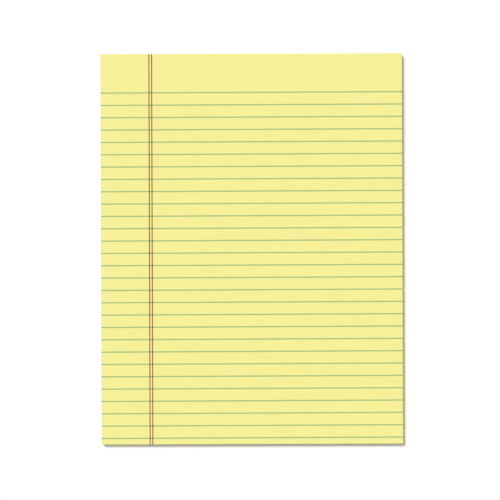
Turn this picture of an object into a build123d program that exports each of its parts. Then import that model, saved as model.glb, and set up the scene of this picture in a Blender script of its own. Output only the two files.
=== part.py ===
from build123d import *

import os

# A glue-top writing pad that lies on its backing board: a block of ruled sheets, the board
# under it, and the film of dried glue that holds them together along the head.
# Sizes are in millimetres. X runs across the page, Y from its foot to its glued head, and Z
# up from the face that the pad lies on. The origin is the middle of that face's box.

# The block of sheets
SHEET_WIDTH = 215.9  # US letter, 8 1/2 in
SHEET_LENGTH = 279.4  # US letter, 11 in
SHEET_COUNT = 50
SHEET_CALIPER = 0.09  # one sheet's share of the block's height

# The backing board
BOARD_CALIPER = 0.7

# Sheets and board are cut to one outline, and their corners are a little blunted
CORNER_RADIUS = 0.5

# The film of glue
FILM_EDGE = 0.15  # how far it stands off the head at the top sheet and at the board's back
FILM_CROWN = 0.35  # how far it stands off halfway up

# What follows from these
BLOCK_HEIGHT = SHEET_COUNT * SHEET_CALIPER
PAD_HEIGHT = BOARD_CALIPER + BLOCK_HEIGHT
FILM_LENGTH = SHEET_WIDTH - 2 * CORNER_RADIUS
HEAD_Y = (SHEET_LENGTH - FILM_CROWN) / 2
PAGE_CENTRE_Y = HEAD_Y - SHEET_LENGTH / 2


def page_slab(bottom, height):
    """A slab with the page's outline, from the level bottom up."""
    outline = RectangleRounded(SHEET_WIDTH, SHEET_LENGTH, CORNER_RADIUS)
    return extrude(Pos(0, PAGE_CENTRE_Y, bottom) * outline, amount=height)


def glue_film():
    """A strip on the head's flat, between the corners, with a shallow arc for its outside."""
    low_edge = (HEAD_Y + FILM_EDGE, 0)
    crown = (HEAD_Y + FILM_CROWN, PAD_HEIGHT / 2)
    high_edge = (HEAD_Y + FILM_EDGE, PAD_HEIGHT)
    flat_side = Polyline(high_edge, (HEAD_Y, PAD_HEIGHT), (HEAD_Y, 0), low_edge)
    outside = ThreePointArc(low_edge, crown, high_edge)
    section = make_face(Plane.YZ * (flat_side + outside))
    return extrude(section, amount=FILM_LENGTH / 2, both=True)


parts = {
    "backing_board": page_slab(0, BOARD_CALIPER),
    "ruled_sheets": page_slab(BOARD_CALIPER, BLOCK_HEIGHT),
    "glue_strip": glue_film(),
}

os.makedirs("parts", exist_ok=True)
for name, part in parts.items():
    export_step(part, f"parts/{name}.step")
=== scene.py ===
"""The looks of a glue-top ruled writing pad that lies on a pale table.

The frame gives three solids: the block of sheets, the backing board and the film of dried glue.
Each one is stood for by a finer piece in its place: a stack of single sheets whose loose ends
part a little, a printed top sheet, a board with blunted edges and a film with brush marks.
"""

import math

import bpy
import numpy as np
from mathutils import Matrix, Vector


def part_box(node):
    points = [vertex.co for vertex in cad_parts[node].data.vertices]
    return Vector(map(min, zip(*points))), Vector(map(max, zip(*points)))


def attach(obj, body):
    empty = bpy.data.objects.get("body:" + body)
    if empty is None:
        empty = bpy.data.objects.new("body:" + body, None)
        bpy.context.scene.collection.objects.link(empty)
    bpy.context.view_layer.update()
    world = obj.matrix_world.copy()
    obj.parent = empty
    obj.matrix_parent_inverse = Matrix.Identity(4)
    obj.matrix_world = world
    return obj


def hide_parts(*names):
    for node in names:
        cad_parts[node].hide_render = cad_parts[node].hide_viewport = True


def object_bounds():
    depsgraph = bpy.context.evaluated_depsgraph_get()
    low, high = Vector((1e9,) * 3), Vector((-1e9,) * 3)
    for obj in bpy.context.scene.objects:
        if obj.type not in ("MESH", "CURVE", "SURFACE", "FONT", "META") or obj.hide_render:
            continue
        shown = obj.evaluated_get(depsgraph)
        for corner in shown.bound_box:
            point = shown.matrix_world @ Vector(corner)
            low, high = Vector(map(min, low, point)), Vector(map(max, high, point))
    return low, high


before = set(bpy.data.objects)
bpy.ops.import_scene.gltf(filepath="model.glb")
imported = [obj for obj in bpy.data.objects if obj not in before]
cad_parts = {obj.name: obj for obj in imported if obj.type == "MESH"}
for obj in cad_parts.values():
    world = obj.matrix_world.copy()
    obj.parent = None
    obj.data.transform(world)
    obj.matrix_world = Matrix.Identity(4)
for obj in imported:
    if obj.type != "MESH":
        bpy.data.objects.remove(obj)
cad_low, cad_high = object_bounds()

MM = 0.001
SEED = 11

# ---- sizes, in metres ----

BLOCK_LOW, BLOCK_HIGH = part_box("ruled_sheets")
BOARD_LOW, BOARD_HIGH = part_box("backing_board")
FILM_LOW, FILM_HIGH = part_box("glue_strip")
PAGE_WIDTH = BLOCK_HIGH.x - BLOCK_LOW.x
PAGE_LENGTH = BLOCK_HIGH.y - BLOCK_LOW.y
PAGE_CENTRE = (BLOCK_LOW + BLOCK_HIGH) / 2
BLOCK_HEIGHT = BLOCK_HIGH.z - BLOCK_LOW.z
CORNER_RADIUS = 0.5 * MM

SHEET_COUNT = 50
SHEET_THICKNESS = 0.077 * MM  # the rest of a sheet's share of the block is air
CUT_JITTER = 0.015 * MM  # how far a whole sheet may lie aside, either way
LOOSE_SLIP = 0.14 * MM  # how far a sheet's foot may lie off the block's
LOOSE_DIP = 0.12 * MM  # how far the top sheet sinks in places, away from the glue
LOOSE_POWER = 0.6  # below 1, so that the sheets come loose soon after the glued head
AIR_SPREAD = 1.6  # how unevenly the air gathers between them; at 0 all gaps are much alike

BOARD_BLUNTING = 0.07 * MM  # width of the blunted arrises of the board

# The glue film
FILM_EDGE = 0.15 * MM  # how far it stands off the head at its upper and lower edge
FILM_CROWN = FILM_HIGH.y - BLOCK_HIGH.y  # how far it stands off halfway up
FILM_TAPER = 3 * MM  # near an end it thins at the rate of its full thickness over this
FILM_RAGGED_LOW = 0.25 * MM  # how far its lower edge wanders up
FILM_RAGGED_HIGH = 0.12 * MM  # how far its upper edge wanders down
THINNEST_BRUSHED = 0.55  # share of the full thickness that the brush leaves at least
THINNEST_END = 0.35  # share of the full thickness at either end
BRUSH_STRETCH = 6  # how many times longer than high the brush marks are

FLOOR_GAP = 0.01 * MM  # keeps the floor from lying in the same plane as the board's back
FLOOR_HALF_WIDTH = 3.0

# The print
RULE_COUNT = 29
RULE_PITCH = 8.83 * MM
FIRST_RULE_DROP = 27.6 * MM  # from the head to the first rule, along the page's middle
RULE_WIDTH = 0.92 * MM
RULE_SKEW = math.radians(0.1)  # the ruling runs uphill to the right by this much
MARGIN_INSET = 34.8 * MM  # from the left edge to the middle of the first margin line
MARGIN_GAP = 1.92 * MM  # between the middles of the two lines
MARGIN_WIDTH = 0.78 * MM
INK_FEATHER = 0.12 * MM  # over which a line's edge fades into the paper

FIRST_RULE_Y = BLOCK_HIGH.y - FIRST_RULE_DROP
MARGIN_X = BLOCK_LOW.x + MARGIN_INSET

# Linear colours. An ink's colour is the share of light that gets through it.
CANARY = (0.852, 0.806, 0.287)
RULE_INK = (0.37, 0.60, 0.68)
MARGIN_INK = (0.30, 0.065, 0.05)
CHIPBOARD = (0.41, 0.36, 0.29)
PALE_FIBRE = (0.62, 0.58, 0.50)
DARK_FIBRE = (0.15, 0.12, 0.09)
DARK_SPECK = (0.11, 0.09, 0.07)
BLUE_SPECK = (0.09, 0.14, 0.26)
DRIED_GLUE = (0.74, 0.70, 0.57)


# ---- meshes ----

SIDES = ("top", "bottom", "foot", "right", "head", "left")
WALLS = SIDES[2:]
# Shares of a bake map
THIN_STRIP = 0.01  # the height that a side gets if it hardly shows
MAP_GAP = 0.002  # what stays free round each strip


def lines_across(length, step):
    """Grid positions along a side: its ends, and even steps between the corners' arcs."""
    flat = length / 2 - CORNER_RADIUS
    inner = np.linspace(-flat, flat, round(length / step) + 1)
    return np.concatenate([[-length / 2], inner, [length / 2]])


def page_grid(step):
    """X and Y of a grid over the page, with its four corners drawn in onto their arcs."""
    x, y = np.meshgrid(lines_across(PAGE_WIDTH, step), lines_across(PAGE_LENGTH, step))
    drawn_in = CORNER_RADIUS * (1 - math.sqrt(0.5))
    for corner in ((0, 0), (0, -1), (-1, 0), (-1, -1)):
        x[corner] -= math.copysign(drawn_in, x[corner])
        y[corner] -= math.copysign(drawn_in, y[corner])
    return x + PAGE_CENTRE.x, y + PAGE_CENTRE.y


def slab_faces(rows, columns):
    """The quads of a closed slab on two grids, the lower one first, and each quad's side.

    Both follow the order of SIDES, and each quad is wound to face outwards."""
    low = np.arange(rows * columns).reshape(rows, columns)
    high = low + rows * columns

    def spans(grid):
        return grid[:-1, :-1], grid[:-1, 1:], grid[1:, 1:], grid[1:, :-1]

    def wall(edge_low, edge_high):
        return edge_low[:-1], edge_low[1:], edge_high[1:], edge_high[:-1]

    corners_by_side = (
        spans(high),
        spans(low)[::-1],
        wall(low[0], high[0]),
        wall(low[:, -1], high[:, -1]),
        wall(low[-1, ::-1], high[-1, ::-1]),
        wall(low[::-1, 0], high[::-1, 0]),
    )
    quads = [np.stack([corner.ravel() for corner in side], 1) for side in corners_by_side]
    return np.concatenate(quads), np.repeat(SIDES, [len(side) for side in quads])


def slab_points(x, y, z_low, z_high):
    """The points of a slab between two heights over one grid."""
    low = np.stack([x, y, z_low], 2).reshape(-1, 3)
    high = np.stack([x, y, z_high], 2).reshape(-1, 3)
    return np.concatenate([low, high])


def map_strips(showing):
    """Lowest and highest v of each side's strip on a piece's bake map.

    The sides that show share out the map, and each of the others gets a thin strip."""
    wide = (1 - THIN_STRIP * (len(SIDES) - len(showing))) / len(showing)
    edges = np.cumsum([0] + [wide if side in showing else THIN_STRIP for side in SIDES])
    return dict(zip(SIDES, zip(edges[:-1] + MAP_GAP, edges[1:] - MAP_GAP)))


def map_points(mesh, slab, showing):
    """A place on the bake map for each corner of each quad: its side, seen straight on."""
    points, quads, sides = slab
    normals = np.array([face.normal for face in mesh.polygons])
    share = (points - points.min(0)) / np.ptp(points, axis=0)
    at = np.empty((len(quads), 4, 2))
    for side, (low, high) in map_strips(showing).items():
        chosen = sides == side
        facing_axis = np.abs(normals[chosen]).sum(0).argmax()
        across = np.delete(share[quads[chosen]], facing_axis, 2)
        at[chosen] = (MAP_GAP, low) + across * (1 - 2 * MAP_GAP, high - low)
    return at


def add_piece(name, slab, showing, material, node):
    """A mesh object with its bake map, riding on the pad in place of a CAD node."""
    points, quads, sides = slab
    mesh = bpy.data.meshes.new(name)
    mesh.from_pydata(points.tolist(), [], quads.tolist())
    layer = mesh.uv_layers.new(name="OFBake")
    layer.uv.foreach_set("vector", map_points(mesh, slab, showing).ravel())
    mesh.shade_smooth()
    mesh.set_sharp_from_angle(angle=math.radians(30))
    mesh.materials.append(material)
    piece = bpy.data.objects.new(name, mesh)
    bpy.context.scene.collection.objects.link(piece)
    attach(piece, "root")
    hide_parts(node)
    return piece


# ---- materials ----


class Graph:
    """The nodes of one material, with short calls for the kinds that the pad uses."""

    def __init__(self, name):
        self.material = bpy.data.materials.new(name)
        self.material.use_nodes = True
        self.tree = self.material.node_tree
        self.shader = self.tree.nodes["Principled BSDF"]
        self.place = self.node("ShaderNodeTexCoord").outputs["Object"]
        self.x, self.y, self.z = self.split(self.place)

    def node(self, kind, inputs=(), **settings):
        """A new node, with its settings made and its inputs set or linked."""
        made = self.tree.nodes.new(kind)
        for key, value in settings.items():
            setattr(made, key, value)
        for key, value in dict(inputs).items():
            self.put(made.inputs[key], value)
        return made

    def put(self, socket, value):
        """Links an output to a socket, or sets the socket's own value."""
        if isinstance(value, bpy.types.NodeSocket):
            self.tree.links.new(value, socket)
        else:
            socket.default_value = value

    def split(self, vector):
        return self.node("ShaderNodeSeparateXYZ", {"Vector": vector}).outputs

    def math(self, operation, *values):
        inputs = dict(enumerate(values))
        return self.node("ShaderNodeMath", inputs, operation=operation).outputs[0]

    def total(self, *values):
        result = values[0]
        for value in values[1:]:
            result = self.math("ADD", result, value)
        return result

    def product(self, *values):
        result = values[0]
        for value in values[1:]:
            result = self.math("MULTIPLY", result, value)
        return result

    def ramp(self, value, low, high, to_low=0.0, to_high=1.0, smooth=False):
        """Maps a value from the range low, high to to_low, to_high, clamped at both ends."""
        kind = "SMOOTHSTEP" if smooth else "LINEAR"
        inputs = {"Value": value, "From Min": low, "From Max": high,
                  "To Min": to_low, "To Max": to_high}
        made = self.node("ShaderNodeMapRange", inputs, interpolation_type=kind)
        return made.outputs["Result"]

    def stretched(self, x, y, z):
        """The place on the pad, with each axis scaled."""
        inputs = {0: self.place, 1: (x, y, z)}
        made = self.node("ShaderNodeVectorMath", inputs, operation="MULTIPLY")
        return made.outputs["Vector"]

    def noise(self, grain, detail=2.0, stretch=(1, 1, 1), spread=1.0):
        """Noise with features about grain metres across, from -spread to spread."""
        vector = self.stretched(*stretch)
        inputs = {"Vector": vector, "Scale": 1 / grain, "Detail": detail}
        made = self.node("ShaderNodeTexNoise", inputs)
        # Nearly all of the raw noise lies between a quarter and three quarters.
        return self.ramp(made.outputs[0], 0.25, 0.75, -spread, spread)

    def flecks(self, grain, size, share):
        """Scattered specks: a mask of discs in some cells of a Voronoi pattern."""
        inputs = {"Vector": self.place, "Scale": 1 / grain}
        cells = self.node("ShaderNodeTexVoronoi", inputs)
        disc = self.ramp(cells.outputs["Distance"], size * 0.6, size, 1.0, 0.0)
        chance = self.split(cells.outputs["Color"])[0]
        return self.product(disc, self.math("LESS_THAN", chance, share))

    def fibres(self, length, thinness, rarity, stretch=(1, 1, 1)):
        """Stray fibres: the parts of a noise's contour lines that a second noise picks out."""
        contour = self.ramp(self.math("ABSOLUTE", self.noise(length, 1.0, stretch)),
                            thinness * 0.5, thinness, 1.0, 0.0)
        picked = self.noise(length * 0.6, 1.0)
        return self.product(contour, self.ramp(picked, rarity, rarity + 0.1))

    def mix(self, share, colour_a, colour_b, blend="MIX"):
        """Blends two colours, each one an output or three numbers."""
        made = self.node("ShaderNodeMix", data_type="RGBA", blend_type=blend)
        # The node has sockets for each type of data, and these are the ones for colours.
        for index, value in ((0, share), (6, colour_a), (7, colour_b)):
            self.put(made.inputs[index], (*value, 1.0) if isinstance(value, tuple) else value)
        return made.outputs[2]

    def facing(self):
        """How far the surface faces up: 1 on the pad's top, 0 on its sides, -1 underneath."""
        normal = self.node("ShaderNodeNewGeometry").outputs["Normal"]
        return self.split(normal)[2]

    def lightened(self, colour, amount):
        """A colour times one plus an amount that varies over the surface."""
        factor = self.math("ADD", amount, 1.0)
        grey = self.node("ShaderNodeCombineColor", {0: factor, 1: factor, 2: factor})
        return self.mix(1.0, colour, grey.outputs[0], "MULTIPLY")

    def bump(self, height, distance):
        """Sets the shader's normal from a height of -1 to 1 and its distance in metres."""
        inputs = {"Strength": 1.0, "Distance": distance, "Height": height}
        self.put(self.shader.inputs["Normal"], self.node("ShaderNodeBump", inputs).outputs[0])

    def finish(self, colour, roughness, specular, height, distance):
        """Sets the shader's sockets and gives back the finished material."""
        self.put(self.shader.inputs["Base Color"], colour)
        self.put(self.shader.inputs["Roughness"], roughness)
        self.put(self.shader.inputs["Specular IOR Level"], specular)
        self.bump(height, distance)
        return self.material


def paper_colour(graph):
    """Canary paper with the cloudiness of its formation and a few stray fibres."""
    cloud = graph.noise(9 * MM, 3.0, spread=0.008)
    formation = graph.noise(1.4 * MM, 3.0, spread=0.014)
    fibres = graph.noise(0.5 * MM, 2.0, (1, 0.25, 1), 0.012)
    return graph.lightened(CANARY, graph.total(cloud, formation, fibres))


def line_mask(graph, distance, width, wander, density):
    """How much ink lies at a distance from a line's middle, uneven along its edges."""
    uneven = graph.total(distance, wander)
    half = width / 2
    feather = INK_FEATHER / 2
    cover = graph.ramp(uneven, half - feather, half + feather, 1.0, 0.0, smooth=True)
    return graph.product(cover, density)


def rule_distance(graph):
    """Distance to the nearest rule, and a mask that is 1 over the ruled part of the page."""
    climb = graph.product(graph.x, math.tan(RULE_SKEW))
    below_first = graph.total(graph.product(graph.y, -1.0), climb, FIRST_RULE_Y)
    row = graph.math("DIVIDE", below_first, RULE_PITCH)
    off_row = graph.math("ABSOLUTE", graph.math("SUBTRACT", row, graph.math("ROUND", row)))
    after_first = graph.math("GREATER_THAN", row, -0.5)
    before_end = graph.math("LESS_THAN", row, RULE_COUNT - 0.5)
    return graph.product(off_row, RULE_PITCH), graph.product(after_first, before_end)


def margin_distance(graph):
    """Distance to the nearer of the two margin lines."""
    middle = MARGIN_X + MARGIN_GAP / 2
    from_middle = graph.math("ABSOLUTE", graph.math("SUBTRACT", graph.x, middle))
    return graph.math("ABSOLUTE", graph.math("SUBTRACT", from_middle, MARGIN_GAP / 2))


def inked(graph, colour, wander, density, strength):
    """A colour with both inks over it. The strength is 1 for the print, less for traces."""
    distance, ruled = rule_distance(graph)
    rules = line_mask(graph, distance, RULE_WIDTH, wander, density)
    margin = line_mask(graph, margin_distance(graph), MARGIN_WIDTH, wander, density)
    colour = graph.mix(graph.product(rules, ruled, strength), colour,
                       graph.mix(1.0, colour, RULE_INK, "MULTIPLY"))
    return graph.mix(graph.product(margin, strength), colour,
                     graph.mix(1.0, colour, MARGIN_INK, "MULTIPLY"))


def printed_paper():
    """The top sheet: ruled on its upper face, with a soft tooth."""
    graph = Graph("printed_paper")
    wander = graph.noise(0.25 * MM, 2.0, spread=0.035 * MM)
    density = graph.ramp(graph.noise(0.6 * MM, 3.0), -1.0, 1.0, 0.88, 1.0)
    upward = graph.math("GREATER_THAN", graph.facing(), 0.5)
    colour = inked(graph, paper_colour(graph), wander, density, upward)
    roughness = graph.ramp(graph.noise(0.8 * MM), -1.0, 1.0, 0.78, 0.92)
    tooth = graph.total(graph.noise(0.18 * MM, 3.0), graph.noise(1.1 * MM, 2.0))
    return graph.finish(colour, roughness, 0.25, tooth, 0.006 * MM)


def cut_paper():
    """The sheets under the top one, seen on their cut edges.

    Each sheet's tone differs a little at random, and all of them are painted darker than the
    paper's face: painted shade between the sheets. The knife leaves upright streaks that run
    through the whole block, and the inks that run off the page leave faint traces."""
    graph = Graph("cut_paper")
    level = graph.math("DIVIDE", graph.math("SUBTRACT", graph.z, BLOCK_LOW.z),
                       BLOCK_HEIGHT / SHEET_COUNT)
    own = graph.node("ShaderNodeTexWhiteNoise", {"W": graph.math("FLOOR", level)},
                     noise_dimensions="1D").outputs["Value"]
    # Painted shade: the ramp lies mostly below zero, so the cut edges come out darker than the
    # paper on average, standing in for the shadows between the sheets; its spread is each
    # sheet's own random tone.
    sheet_tone_and_painted_shade = graph.ramp(own, 0.0, 1.0, -0.14, 0.01)
    streaks = graph.noise(0.7 * MM, 3.0, (1, 1, 0.02), 0.03)
    bands = graph.noise(0.7 * MM, 3.0, (0.02, 0.02, 1), 0.09)
    smudges = graph.noise(14 * MM, 2.0, (1, 1, 0.3), 0.025)
    cut = graph.math("LESS_THAN", graph.math("ABSOLUTE", graph.facing()), 0.5)
    shade = graph.product(graph.total(sheet_tone_and_painted_shade, streaks, bands, smudges), cut)
    paper = graph.lightened(CANARY, shade)
    wander = graph.noise(0.2 * MM, 1.0, (0.4, 0.4, 1), 0.1 * MM)
    traces = graph.ramp(graph.noise(0.15 * MM, 2.0, (0.25, 0.25, 1)), -1.0, 1.0, 0.5, 1.0)
    colour = inked(graph, paper, wander, traces, graph.product(cut, 0.25))
    roughness = graph.ramp(graph.noise(0.4 * MM), -1.0, 1.0, 0.82, 0.95)
    fluff = graph.noise(0.12 * MM, 2.0, (0.15, 0.15, 1))
    nicks = graph.noise(0.7 * MM, 2.0, (1, 1, 0.05))
    return graph.finish(colour, roughness, 0.2, graph.total(fluff, nicks), 0.012 * MM)


def chipboard():
    """Board of mixed waste paper: cloudy, flecked with dark and pale fibres."""
    graph = Graph("chipboard")
    cloud = graph.noise(7 * MM, 4.0, spread=0.07)
    grain = graph.noise(0.8 * MM, 4.0, spread=0.12)
    layers = graph.noise(0.12 * MM, 2.0, (0.08, 0.08, 1), 0.05)
    colour = graph.lightened(CHIPBOARD, graph.total(cloud, grain, layers))
    dark_fibres = graph.fibres(2.4 * MM, 0.05, 0.25)
    pale_fibres = graph.fibres(1.9 * MM, 0.06, 0.2, (0.7, 1, 1))
    dark_specks = graph.flecks(1.9 * MM, 0.12, 0.4)
    blue_specks = graph.flecks(5.3 * MM, 0.05, 0.35)
    colour = graph.mix(graph.product(pale_fibres, 0.5), colour, PALE_FIBRE)
    colour = graph.mix(graph.product(dark_fibres, 0.5), colour, DARK_FIBRE)
    colour = graph.mix(graph.product(dark_specks, 0.6), colour, DARK_SPECK)
    colour = graph.mix(graph.product(blue_specks, 0.6), colour, BLUE_SPECK)
    roughness = graph.ramp(graph.noise(1.5 * MM), -1.0, 1.0, 0.8, 0.95)
    return graph.finish(colour, roughness, 0.2, graph.total(grain, layers), 0.15 * MM)


def dried_glue():
    """Rubbery film, milky where it is thick, with the edges under it showing through."""
    graph = Graph("dried_glue")
    on_board = graph.ramp(graph.z, BOARD_HIGH.z - 0.1 * MM, BOARD_HIGH.z + 0.1 * MM, 1.0, 0.0)
    under = graph.mix(on_board, CANARY, CHIPBOARD)
    milk = graph.ramp(graph.noise(3 * MM, 3.0, (0.35, 1, 1)), -1.0, 1.0, 0.4, 0.85)
    edges = graph.noise(0.4 * MM, 3.0, (0.01, 1, 1), 0.10)
    strokes = graph.noise(0.5 * MM, 2.0, (0.06, 1, 1), 0.06)
    colour = graph.lightened(graph.mix(milk, under, DRIED_GLUE), graph.total(edges, strokes))
    roughness = graph.ramp(graph.noise(2 * MM, 2.0, (0.3, 1, 1)), -1.0, 1.0, 0.28, 0.5)
    ripple = graph.noise(0.6 * MM, 2.0, (0.1, 1, 1))
    pimples = graph.noise(0.3 * MM, 2.0, (0.4, 1, 1))
    return graph.finish(colour, roughness, 0.5, graph.total(ripple, pimples), 0.01 * MM)


def table_top():
    """The floor's plain, pale and nearly matte surface."""
    material = bpy.data.materials.new("floor")
    material.use_nodes = True
    shader = material.node_tree.nodes["Principled BSDF"]
    shader.inputs["Base Color"].default_value = (0.95, 0.95, 0.95, 1.0)
    shader.inputs["Roughness"].default_value = 0.9
    shader.inputs["Specular IOR Level"].default_value = 0.1
    return material


# ---- the sheets ----


def waves(rng, x, y, count, longest):
    """A smooth field from 0 to 1 over the page: a few long waves of random direction."""
    field = np.zeros_like(x)
    for _ in range(count):
        turn, phase = rng.uniform(0, 2 * math.pi, 2)
        length = longest * rng.uniform(0.5, 1.0)
        along = x * math.cos(turn) + y * math.sin(turn)
        field += np.sin(2 * math.pi * along / length + phase)
    return 0.5 + 0.5 * field / count


def sheet_bottoms(rng, x, y):
    """The height of each sheet's underside over the page, one layer a sheet.

    The glue holds the sheets evenly apart at the head. Towards the foot the air between them
    gathers in a few openings, as where the pad has been leafed through."""
    loose = ((BLOCK_HIGH.y - y) / PAGE_LENGTH).clip(0, 1) ** LOOSE_POWER
    openness = rng.lognormal(0.0, AIR_SPREAD, SHEET_COUNT)
    over_page = [0.2 + waves(rng, x, y, count=3, longest=0.3) for _ in range(SHEET_COUNT)]
    shares = openness[:, None, None] * over_page
    shares /= shares.sum(0)
    dip = LOOSE_DIP * loose * waves(rng, x, y, count=4, longest=0.35)
    air = BLOCK_HEIGHT - SHEET_COUNT * SHEET_THICKNESS - dip
    gaps = air * ((1 - loose) / SHEET_COUNT + loose * shares)
    return BLOCK_LOW.z + np.cumsum(gaps + SHEET_THICKNESS, 0) - SHEET_THICKNESS


def drift(rng):
    """One value a sheet, from 0 to 1, that wanders slowly up the stack with a jitter on it."""
    walk = np.cumsum(rng.normal(0.0, 1.0, SHEET_COUNT)) + rng.normal(0.0, 0.8, SHEET_COUNT)
    return (walk - walk.min()) / np.ptp(walk)


def sheet_points(step):
    """Points of every sheet on one grid, from the board up."""
    rng = np.random.default_rng(SEED)
    x, y = page_grid(step)
    from_head = (BLOCK_HIGH.y - y) / PAGE_LENGTH
    bottoms = sheet_bottoms(rng, x, y)
    sideways = LOOSE_SLIP * (drift(rng) - 0.5)
    shorter = LOOSE_SLIP * drift(rng)
    jitter = rng.uniform(-CUT_JITTER, CUT_JITTER, SHEET_COUNT)
    for bottom, aside, short, cut in zip(bottoms, sideways, shorter, jitter):
        yield slab_points(x + aside * from_head + cut, y + short * from_head,
                          bottom, bottom + SHEET_THICKNESS)


def add_sheets():
    """The stack of plain sheets, and the printed one on top."""
    step = 14 * MM
    *lower, top = sheet_points(step)
    columns, rows = (len(lines_across(side, step)) for side in (PAGE_WIDTH, PAGE_LENGTH))
    quads, sides = slab_faces(rows, columns)
    all_quads = np.concatenate([quads + i * len(top) for i in range(len(lower))])
    stack = (np.concatenate(lower), all_quads, np.tile(sides, len(lower)))
    add_piece("sheet_stack", stack, WALLS, cut_paper(), "ruled_sheets")
    add_piece("top_sheet", (top, quads, sides), ["top"], printed_paper(),
              "ruled_sheets")


# ---- board and glue ----


def add_board():
    """The chipboard back, its arrises blunted."""
    step = 20 * MM
    x, y = page_grid(step)
    points = slab_points(x, y, np.full_like(x, BOARD_LOW.z), np.full_like(x, BOARD_HIGH.z))
    slab = (points, *slab_faces(*x.shape))
    board = add_piece("chipboard_back", slab, ["bottom"], chipboard(),
                      "backing_board")
    blunt = board.modifiers.new("blunt_edges", "BEVEL")
    blunt.width = BOARD_BLUNTING
    blunt.segments = 2
    blunt.limit_method = "ANGLE"
    blunt.angle_limit = math.radians(60)


def add_film():
    """The glue film: a shallow arc over the head, thinned and thickened by the brush."""
    rng = np.random.default_rng(SEED + 1)
    width = FILM_HIGH.x - FILM_LOW.x
    height = FILM_HIGH.z - FILM_LOW.z
    step = 0.8 * MM
    columns = round(width / step)
    rows = 15
    x, level = np.meshgrid(np.linspace(-width / 2, width / 2, columns), np.linspace(0, 1, rows))
    ragged_low = FILM_RAGGED_LOW * waves(rng, x, 0 * x, count=8, longest=0.02)
    ragged_high = FILM_RAGGED_HIGH * waves(rng, x, 0 * x, count=8, longest=0.02)
    z = FILM_LOW.z + ragged_low + level * (height - ragged_low - ragged_high)
    body = FILM_EDGE + (FILM_CROWN - FILM_EDGE) * (1 - (2 * level - 1) ** 2)
    marks = waves(rng, x, z * BRUSH_STRETCH, count=6, longest=0.03)
    brushed = THINNEST_BRUSHED + (1 - THINNEST_BRUSHED) * marks
    thinned = np.minimum(1, THINNEST_END + (width / 2 - np.abs(x)) / FILM_TAPER)
    x = x + (FILM_LOW.x + FILM_HIGH.x) / 2
    # The slab stands on edge: its bottom lies on the head, and its top is the film's outside.
    # That mirrors it, so its quads are turned over.
    back = np.stack([x, np.full_like(x, FILM_LOW.y), z], 2).reshape(-1, 3)
    outside = back + np.stack([0 * x, body * brushed * thinned, 0 * x], 2).reshape(-1, 3)
    quads, sides = slab_faces(rows, columns)
    slab = (np.concatenate([back, outside]), quads[:, ::-1], sides)
    add_piece("glue_film", slab, ["top"], dried_glue(), "glue_strip")


# ---- room, light and camera ----


def build_floor():
    """A pale table top, level with the pad's underside."""
    half = FLOOR_HALF_WIDTH
    mesh = bpy.data.meshes.new("floor")
    corners = [(-half, -half, 0), (half, -half, 0), (half, half, 0), (-half, half, 0)]
    mesh.from_pydata(corners, [], [(0, 1, 2, 3)])
    mesh.materials.append(table_top())
    floor = bpy.data.objects.new("floor", mesh)
    bpy.context.scene.collection.objects.link(floor)
    floor.location.z = cad_low.z - FLOOR_GAP


def build_world(fill, backdrop):
    """Even light from all round, and a brighter plain backdrop where the camera sees it."""
    world = bpy.data.worlds.new("studio")
    world.use_nodes = True
    nodes, links = world.node_tree.nodes, world.node_tree.links
    light = nodes["Background"]
    light.inputs["Strength"].default_value = fill
    light.inputs["Color"].default_value = (1.0, 1.0, 1.0, 1.0)
    seen = nodes.new("ShaderNodeBackground")
    seen.inputs["Strength"].default_value = backdrop
    seen.inputs["Color"].default_value = (1.0, 1.0, 1.0, 1.0)
    which = nodes.new("ShaderNodeLightPath")
    mix = nodes.new("ShaderNodeMixShader")
    links.new(which.outputs["Is Camera Ray"], mix.inputs[0])
    links.new(light.outputs[0], mix.inputs[1])
    links.new(seen.outputs[0], mix.inputs[2])
    links.new(mix.outputs[0], nodes["World Output"].inputs["Surface"])
    bpy.context.scene.world = world


def build_key(strength, elevation, bearing, softness):
    """One soft lamp, far off: bearing is counted from +X towards +Y, to where it stands."""
    lamp = bpy.data.lights.new("key", "SUN")
    lamp.energy = strength
    lamp.angle = math.radians(softness)
    key = bpy.data.objects.new("key", lamp)
    bpy.context.scene.collection.objects.link(key)
    key.rotation_euler = (0.0, math.radians(90 - elevation), math.radians(bearing))


def build_camera(lens, seen_width, offset, roll):
    """Straight above the page. seen_width is what the frame takes in at the top sheet."""
    data = bpy.data.cameras.new("camera")
    data.lens = lens
    camera = bpy.data.objects.new("camera", data)
    bpy.context.scene.collection.objects.link(camera)
    height = seen_width * lens / data.sensor_width
    camera.location = (PAGE_CENTRE.x + offset[0], PAGE_CENTRE.y + offset[1],
                       BLOCK_HIGH.z + height)
    camera.rotation_euler = (0.0, 0.0, math.radians(roll))
    bpy.context.scene.camera = camera


add_sheets()
add_board()
add_film()
build_floor()
build_world(fill=0.38, backdrop=1.05)
build_key(strength=2.6, elevation=58, bearing=130, softness=20)
build_camera(lens=135.0, seen_width=357.9 * MM, offset=(-1.23 * MM, -0.73 * MM), roll=-0.19)
bpy.context.scene.view_settings.view_transform = "Standard"
